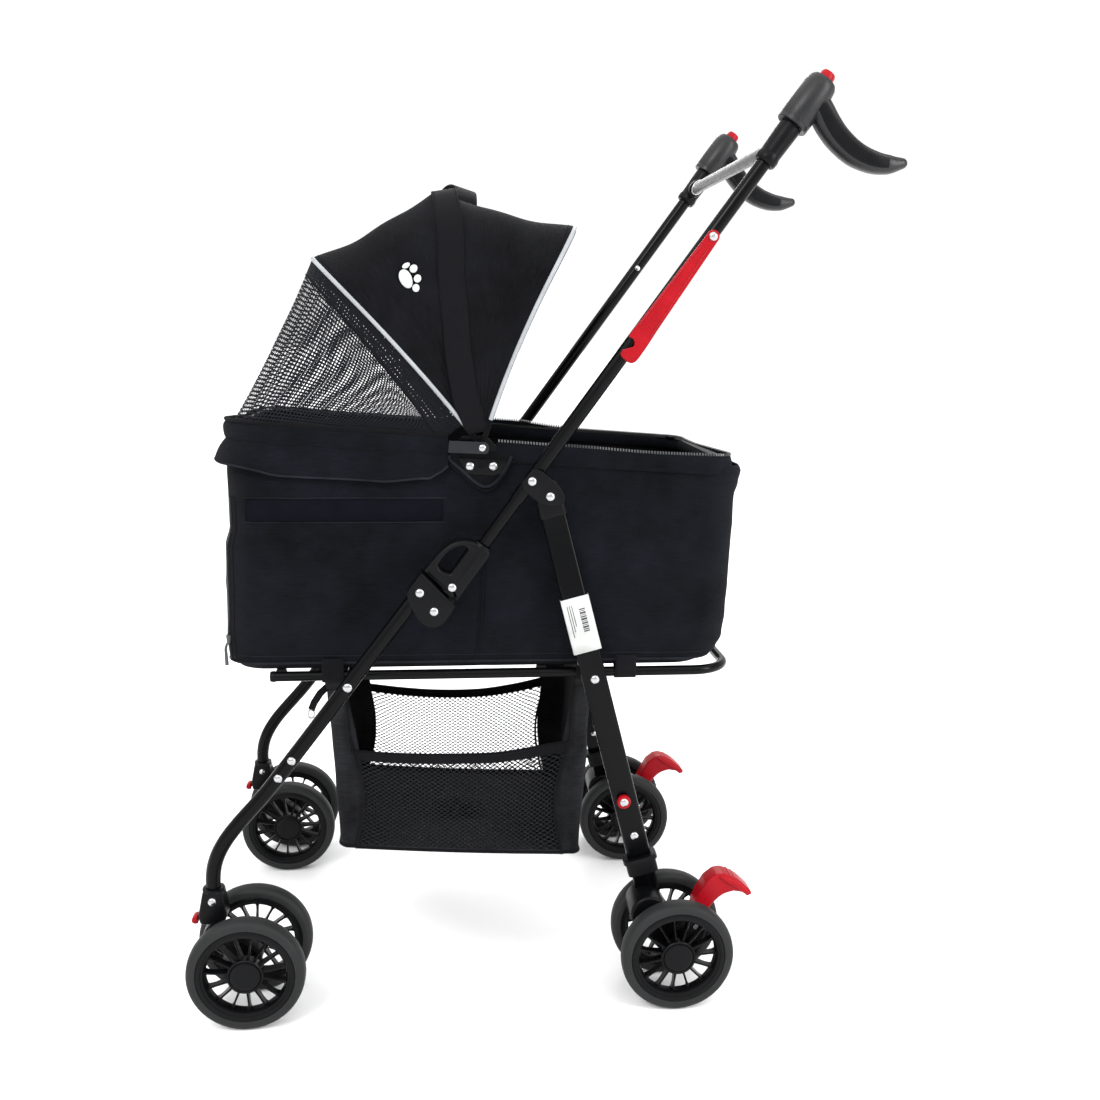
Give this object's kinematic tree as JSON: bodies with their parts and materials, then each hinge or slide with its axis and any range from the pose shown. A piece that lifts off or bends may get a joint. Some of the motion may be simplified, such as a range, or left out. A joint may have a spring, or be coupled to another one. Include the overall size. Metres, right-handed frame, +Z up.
{
  "type": "pet stroller",
  "caption": "Folding four-wheel pet stroller with a soft zipped carrier, fan canopy with a mesh front, storage basket, swivel casters and foot brakes.",
  "frame": {"origin": "on the floor, at the centre of the stroller's bounding box in plan", "axes": "+Z up from the floor, -X towards the front casters, so +X towards the handle, +Y towards the stroller's right side"},
  "size_m": [0.7437, 0.465, 0.9963],
  "materials": {
    "frame": "satin black powder coat",
    "plastic": "fine moulded texture",
    "wheel_plastic": "semi-matt moulded",
    "tyre": "smooth EVA foam",
    "grip": "soft matt rubber",
    "red_plastic": "semi-gloss moulded",
    "crossbar": "satin",
    "bow": "drawn wire",
    "fabric": "plain-weave polyester",
    "mesh": "knitted mesh",
    "basket": "polyester and knitted mesh",
    "board": "padded board"
  },
  "bodies": {
    "carrier": {"base_frame": "frame", "rim_frame": "frame", "carrier_bag": "fabric", "floor_board": "board", "storage_basket": "basket", "canopy_bow_middle": "bow", "canopy_front_panel": "fabric", "canopy_rear_panel": "fabric"},
    "front_legs": {"front_leg_left": "frame", "fold_bracket_left": "plastic", "caster_socket_left": "plastic", "front_leg_right": "frame", "fold_bracket_right": "plastic", "caster_socket_right": "plastic"},
    "rear_legs": {"rear_leg_left": "frame", "rear_leg_cap_left": "plastic", "wheel_housing_left": "plastic", "rear_leg_right": "frame", "rear_leg_cap_right": "plastic", "wheel_housing_right": "plastic", "hook_bush": "red_plastic"},
    "handle": {"handle_tube_left": "frame", "handle_collar_left": "plastic", "leg_bracket_left": "plastic", "handle_tube_right": "frame", "handle_collar_right": "plastic", "leg_bracket_right": "plastic", "handle_crossbar": "crossbar"},
    "lock_sleeve_left": {"lock_sleeve_left": "plastic"},
    "grip_left": {"grip_left": "grip"},
    "grip_button_left": {"grip_button_left": "red_plastic"},
    "caster_left": {"caster_fork_left": "plastic"},
    "swivel_tab_left": {"swivel_tab_left": "red_plastic"},
    "brake_pedal_left": {"brake_pedal_left": "red_plastic"},
    "wheel_front_left_inner": {"tyre_front_left_inner": "tyre", "rim_front_left_inner": "wheel_plastic"},
    "wheel_front_left_outer": {"tyre_front_left_outer": "tyre", "rim_front_left_outer": "wheel_plastic"},
    "wheel_rear_left_inner": {"tyre_rear_left_inner": "tyre", "rim_rear_left_inner": "wheel_plastic"},
    "wheel_rear_left_outer": {"tyre_rear_left_outer": "tyre", "rim_rear_left_outer": "wheel_plastic"},
    "lock_sleeve_right": {"lock_sleeve_right": "plastic"},
    "grip_right": {"grip_right": "grip"},
    "grip_button_right": {"grip_button_right": "red_plastic"},
    "caster_right": {"caster_fork_right": "plastic"},
    "swivel_tab_right": {"swivel_tab_right": "red_plastic"},
    "brake_pedal_right": {"brake_pedal_right": "red_plastic"},
    "wheel_front_right_inner": {"tyre_front_right_inner": "tyre", "rim_front_right_inner": "wheel_plastic"},
    "wheel_front_right_outer": {"tyre_front_right_outer": "tyre", "rim_front_right_outer": "wheel_plastic"},
    "wheel_rear_right_inner": {"tyre_rear_right_inner": "tyre", "rim_rear_right_inner": "wheel_plastic"},
    "wheel_rear_right_outer": {"tyre_rear_right_outer": "tyre", "rim_rear_right_outer": "wheel_plastic"},
    "hook": {"hook_latch": "red_plastic"},
    "canopy_front": {"canopy_bow_front": "bow", "canopy_mesh": "mesh"},
    "canopy_rear": {"canopy_bow_rear": "bow"}
  },
  "joints": [
    {"name": "frame_fold", "type": "hinge", "parent": "carrier", "child": "front_legs", "pos_m": [-0.1996, 0, 0.3664], "axis": [0, -1, 0], "range_deg": [0, 95]},
    {"name": "rear_leg_fold", "type": "hinge", "parent": "carrier", "child": "rear_legs", "pos_m": [0.0646, 0, 0.3648], "axis": [0, -1, 0], "range_deg": [0, 45.1]},
    {"name": "handle_fold", "type": "hinge", "parent": "front_legs", "child": "handle", "pos_m": [-0.1079, 0, 0.4464], "axis": [0, -1, 0], "range_deg": [-134.3, 0]},
    {"name": "lock_sleeve_left_slide", "type": "slide", "parent": "handle", "child": "lock_sleeve_left", "axis": [0.5842, 0, 0.8116], "range_m": [0, 0.02], "stiffness_N_per_m": 150, "springref_m": -0.01},
    {"name": "grip_left_height", "type": "slide", "parent": "handle", "child": "grip_left", "axis": [0.5842, 0, 0.8116], "range_m": [0, 0.05]},
    {"name": "grip_button_left_press", "type": "slide", "parent": "grip_left", "child": "grip_button_left", "axis": [-0.5842, 0, -0.8116], "range_m": [0, 0.003], "stiffness_N_per_m": 300, "springref_m": -0.003},
    {"name": "caster_left_swivel", "type": "hinge", "parent": "front_legs", "child": "caster_left", "pos_m": [-0.3472, -0.185, 0.1], "axis": [0, 0, 1], "continuous": true},
    {"name": "swivel_tab_left_slide", "type": "slide", "parent": "front_legs", "child": "swivel_tab_left", "axis": [0, 0, -1], "range_m": [0, 0.005]},
    {"name": "brake_pedal_left_press", "type": "hinge", "parent": "rear_legs", "child": "brake_pedal_left", "pos_m": [0.1803, -0.183, 0.084], "axis": [0, 1, 0], "range_deg": [0, 16]},
    {"name": "wheel_front_left_inner_spin", "type": "hinge", "parent": "caster_left", "child": "wheel_front_left_inner", "pos_m": [-0.3097, -0.148, 0.0625], "axis": [0, 1, 0], "continuous": true},
    {"name": "wheel_front_left_outer_spin", "type": "hinge", "parent": "caster_left", "child": "wheel_front_left_outer", "pos_m": [-0.3097, -0.222, 0.0625], "axis": [0, 1, 0], "continuous": true},
    {"name": "wheel_rear_left_inner_spin", "type": "hinge", "parent": "rear_legs", "child": "wheel_rear_left_inner", "pos_m": [0.1558, -0.146, 0.0625], "axis": [0, 1, 0], "continuous": true},
    {"name": "wheel_rear_left_outer_spin", "type": "hinge", "parent": "rear_legs", "child": "wheel_rear_left_outer", "pos_m": [0.1558, -0.22, 0.0625], "axis": [0, 1, 0], "continuous": true},
    {"name": "lock_sleeve_right_slide", "type": "slide", "parent": "handle", "child": "lock_sleeve_right", "axis": [0.5842, 0, 0.8116], "range_m": [0, 0.02], "stiffness_N_per_m": 150, "springref_m": -0.01},
    {"name": "grip_right_height", "type": "slide", "parent": "handle", "child": "grip_right", "axis": [0.5842, 0, 0.8116], "range_m": [0, 0.05]},
    {"name": "grip_button_right_press", "type": "slide", "parent": "grip_right", "child": "grip_button_right", "axis": [-0.5842, 0, -0.8116], "range_m": [0, 0.003], "stiffness_N_per_m": 300, "springref_m": -0.003},
    {"name": "caster_right_swivel", "type": "hinge", "parent": "front_legs", "child": "caster_right", "pos_m": [-0.3472, 0.185, 0.1], "axis": [0, 0, 1], "continuous": true},
    {"name": "swivel_tab_right_slide", "type": "slide", "parent": "front_legs", "child": "swivel_tab_right", "axis": [0, 0, -1], "range_m": [0, 0.005]},
    {"name": "brake_pedal_right_press", "type": "hinge", "parent": "rear_legs", "child": "brake_pedal_right", "pos_m": [0.1803, 0.183, 0.084], "axis": [0, 1, 0], "range_deg": [0, 16]},
    {"name": "wheel_front_right_inner_spin", "type": "hinge", "parent": "caster_right", "child": "wheel_front_right_inner", "pos_m": [-0.3097, 0.148, 0.0625], "axis": [0, 1, 0], "continuous": true},
    {"name": "wheel_front_right_outer_spin", "type": "hinge", "parent": "caster_right", "child": "wheel_front_right_outer", "pos_m": [-0.3097, 0.222, 0.0625], "axis": [0, 1, 0], "continuous": true},
    {"name": "wheel_rear_right_inner_spin", "type": "hinge", "parent": "rear_legs", "child": "wheel_rear_right_inner", "pos_m": [0.1558, 0.146, 0.0625], "axis": [0, 1, 0], "continuous": true},
    {"name": "wheel_rear_right_outer_spin", "type": "hinge", "parent": "rear_legs", "child": "wheel_rear_right_outer", "pos_m": [0.1558, 0.22, 0.0625], "axis": [0, 1, 0], "continuous": true},
    {"name": "hook_swing", "type": "hinge", "parent": "handle", "child": "hook", "pos_m": [0.1707, -0.19625, 0.8315], "axis": [0, -1, 0], "range_deg": [-90, 60]},
    {"name": "canopy_front_fold", "type": "hinge", "parent": "carrier", "child": "canopy_front", "pos_m": [-0.0582, 0, 0.616], "axis": [0, 1, 0], "range_deg": [0, 22], "deforming": ["canopy_front_panel"]},
    {"name": "canopy_rear_fold", "type": "hinge", "parent": "carrier", "child": "canopy_rear", "pos_m": [-0.0582, 0, 0.616], "axis": [0, -1, 0], "range_deg": [0, 22], "deforming": ["canopy_rear_panel"]}
  ],
  "couplings": [
    {"joint": "rear_leg_fold", "follows": "frame_fold", "ratio": 0.4731},
    {"joint": "handle_fold", "follows": "frame_fold", "ratio": -1.4116}
  ]
}
